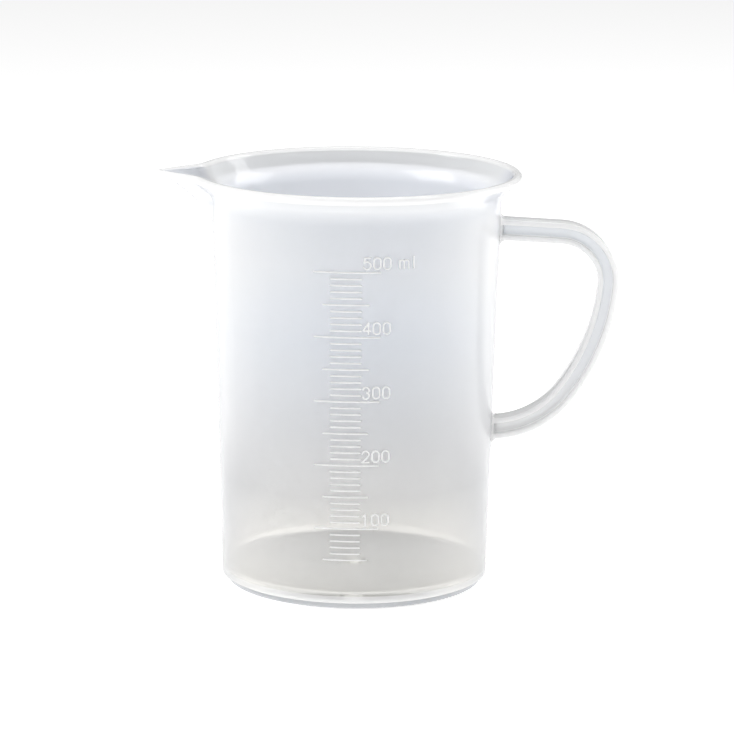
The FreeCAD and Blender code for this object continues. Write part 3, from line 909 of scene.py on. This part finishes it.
# The strokes of each figure in a cell one unit high: a straight run is (x, y, x, y), and an arc
# is (centre x, centre y, radius, first angle, last angle).
GLYPHS = {
    "0": ((0.0, 0.295, 0.0, 0.705), (0.59, 0.295, 0.59, 0.705),
          (0.295, 0.705, 0.295, 0, 180), (0.295, 0.295, 0.295, 180, 360)),
    "1": ((0.32, 0.0, 0.32, 1.0), (0.32, 1.0, 0.1, 0.8)),
    "2": ((0.0, 0.0, 0.59, 0.0), (0.0, 0.0, 0.535, 0.55), (0.295, 0.705, 0.295, -32, 170)),
    "3": ((0.28, 0.735, 0.265, -75, 165), (0.28, 0.255, 0.28, -165, 80)),
    "4": ((0.45, 0.0, 0.45, 1.0), (0.45, 1.0, 0.0, 0.3), (0.0, 0.3, 0.6, 0.3)),
    "5": ((0.54, 1.0, 0.1, 1.0), (0.1, 1.0, 0.03, 0.53), (0.285, 0.32, 0.32, -155, 140)),
    "m": ((0.0, 0.0, 0.0, 0.72), (0.4, 0.0, 0.4, 0.52), (0.8, 0.0, 0.8, 0.52),
          (0.2, 0.52, 0.2, 0, 180), (0.6, 0.52, 0.2, 0, 180)),
    "l": ((0.15, 0.0, 0.15, 1.0),),
}
NUMBER_HEIGHT = 3.9
NUMBER_STROKE = 0.48
NUMBER_PITCH = 2.95
NUMBER_LIFT = 0.55           # gap between a mark and its number
NUMBER_START = math.radians(2.9)
PITCH_SHARE = {" ": 0.6, "m": 1.3}
REMESH_SIZE = 0.07
STRAIGHT_STEPS = 8
ARC_STEPS = 20


def stroke_line(stroke, scale):
    """The centre line of one stroke."""
    if len(stroke) == 4:
        start, end = Vector(stroke[:2]) * scale, Vector(stroke[2:]) * scale
        return [start.lerp(end, k / STRAIGHT_STEPS) for k in range(STRAIGHT_STEPS + 1)]
    centre, radius = Vector(stroke[:2]) * scale, stroke[2] * scale
    first, last = (math.radians(a) for a in stroke[3:])
    return [centre + Vector((math.cos(a), math.sin(a))) * radius
            for a in (first + (last - first) * k / ARC_STEPS for k in range(ARC_STEPS + 1))]


def one_skin(vertices, faces):
    """The same solids as one closed surface, without the walls inside it."""
    mesh = new_mesh("strokes", vertices, faces)
    holder = bpy.data.objects.new("strokes", mesh)
    bpy.context.scene.collection.objects.link(holder)
    remesh = holder.modifiers.new("remesh", "REMESH")
    remesh.mode = "VOXEL"
    remesh.voxel_size = REMESH_SIZE
    result = bpy.data.meshes.new_from_object(
        holder.evaluated_get(bpy.context.evaluated_depsgraph_get()))
    points = [tuple(v.co) for v in result.vertices]
    polygons = [tuple(p.vertices) for p in result.polygons]
    bpy.data.objects.remove(holder)
    bpy.data.meshes.remove(mesh)
    bpy.data.meshes.remove(result)
    return points, polygons


def number(name, node, text, volume):
    """The raised figures above a volume's mark."""
    scale = NUMBER_HEIGHT - MARK_FOOT_WIDTH
    foot = mark_height(volume) + MARK_FOOT_WIDTH / 2 + NUMBER_LIFT + MARK_FOOT_WIDTH / 2
    across = NUMBER_START * wall_radius(foot)
    strokes = []
    for letter in text:
        for stroke in GLYPHS.get(letter, ()):
            line = [Vector((across, foot)) + point for point in stroke_line(stroke, scale)]
            strokes.append(lofted(ridge(line, NUMBER_STROKE, MARK_RISE)))
        across += NUMBER_PITCH * PITCH_SHARE.get(letter, 1.0)
    flat_vertices, flat_faces = one_skin(*joined(strokes))
    vertices = [on_wall(*vertex) for vertex in flat_vertices]
    make_object(name, vertices, flat_faces, scale_material, "raised_scale", node)


for volume in (100, 200, 300, 400):
    number(f"number_{volume}", f"numeral_{volume}", str(volume), volume)
number("number_500_ml", "numeral_500_ml", "500 ml", 500)

# ------------------------------------------------------------------ stage, light and camera

FLOOR_REACH = 6.0            # metres, as are all sizes from here on
FLOOR_PAINT = (0.9, 0.9, 0.9, 1)
FLOOR_GLOW = 0.44            # it shines a little, as a lit table does
SKY_STRENGTH = 0.42
MIDDLE = (0, 0, 0.06)
# Each soft box is (name, place, size, watts).
SOFT_BOXES = (
    ("key_box", (-1.12, -0.36, 0.75), (0.95, 0.9), 7.5),
    ("right_box", (1.08, 0.25, 0.50), (0.85, 0.8), 5.0),
    ("top_box", (0.1, 0.1, 1.3), (0.9, 0.9), 4.8),
)
LENS = 177.7                 # millimetres
SENSOR_WIDTH = 36
SHIFT = (0.0157, 0.0303)
ROLL = math.radians(0.42)
CAMERA_PLACE = (0, -1.0761, 0.298)
TARGET = Vector((0, 0, 0.0582))

floor_mesh = bpy.data.meshes.new("floor")
floor_mesh.from_pydata([(-FLOOR_REACH, -FLOOR_REACH, 0), (FLOOR_REACH, -FLOOR_REACH, 0),
                        (FLOOR_REACH, FLOOR_REACH, 0), (-FLOOR_REACH, FLOOR_REACH, 0)],
                       [], [(0, 1, 2, 3)])
floor = bpy.data.objects.new("floor", floor_mesh)
bpy.context.scene.collection.objects.link(floor)
floor_graph = Graph("floor")
paint = floor_graph.surface()
paint.inputs["Base Color"].default_value = FLOOR_PAINT
paint.inputs["Roughness"].default_value = 0.9
paint.inputs["Specular IOR Level"].default_value = 0.0
paint.inputs["Emission Color"].default_value = (1, 1, 1, 1)
paint.inputs["Emission Strength"].default_value = FLOOR_GLOW
floor_mesh.materials.append(floor_graph.material)

scene = bpy.context.scene
world = bpy.data.worlds.new("studio")
scene.world = world
world.use_nodes = True
sky = world.node_tree.nodes["Background"]
sky.inputs["Color"].default_value = (1, 1, 1, 1)
sky.inputs["Strength"].default_value = SKY_STRENGTH


def soft_box(name, place, size, power):
    """A rectangular area light that is aimed at the jug's middle."""
    data = bpy.data.lights.new(name, "AREA")
    data.shape = "RECTANGLE"
    data.size, data.size_y = size
    data.energy = power
    light = bpy.data.objects.new(name, data)
    light.location = place
    light.rotation_euler = (Vector(MIDDLE) - Vector(place)).to_track_quat("-Z", "Y").to_euler()
    scene.collection.objects.link(light)


for box in SOFT_BOXES:
    soft_box(*box)

camera_data = bpy.data.cameras.new("camera")
camera_data.lens = LENS
camera_data.sensor_width = SENSOR_WIDTH
camera_data.shift_x, camera_data.shift_y = SHIFT
camera = bpy.data.objects.new("camera", camera_data)
camera.location = CAMERA_PLACE
look = (TARGET - camera.location).to_track_quat("-Z", "Y").to_matrix().to_4x4()
camera.rotation_euler = (look @ Matrix.Rotation(ROLL, 4, "Z")).to_euler()
scene.collection.objects.link(camera)
scene.camera = camera
scene.view_settings.view_transform = "Standard"
scene.cycles.max_bounces = 24
scene.cycles.transmission_bounces = 16
scene.cycles.transparent_max_bounces = 16
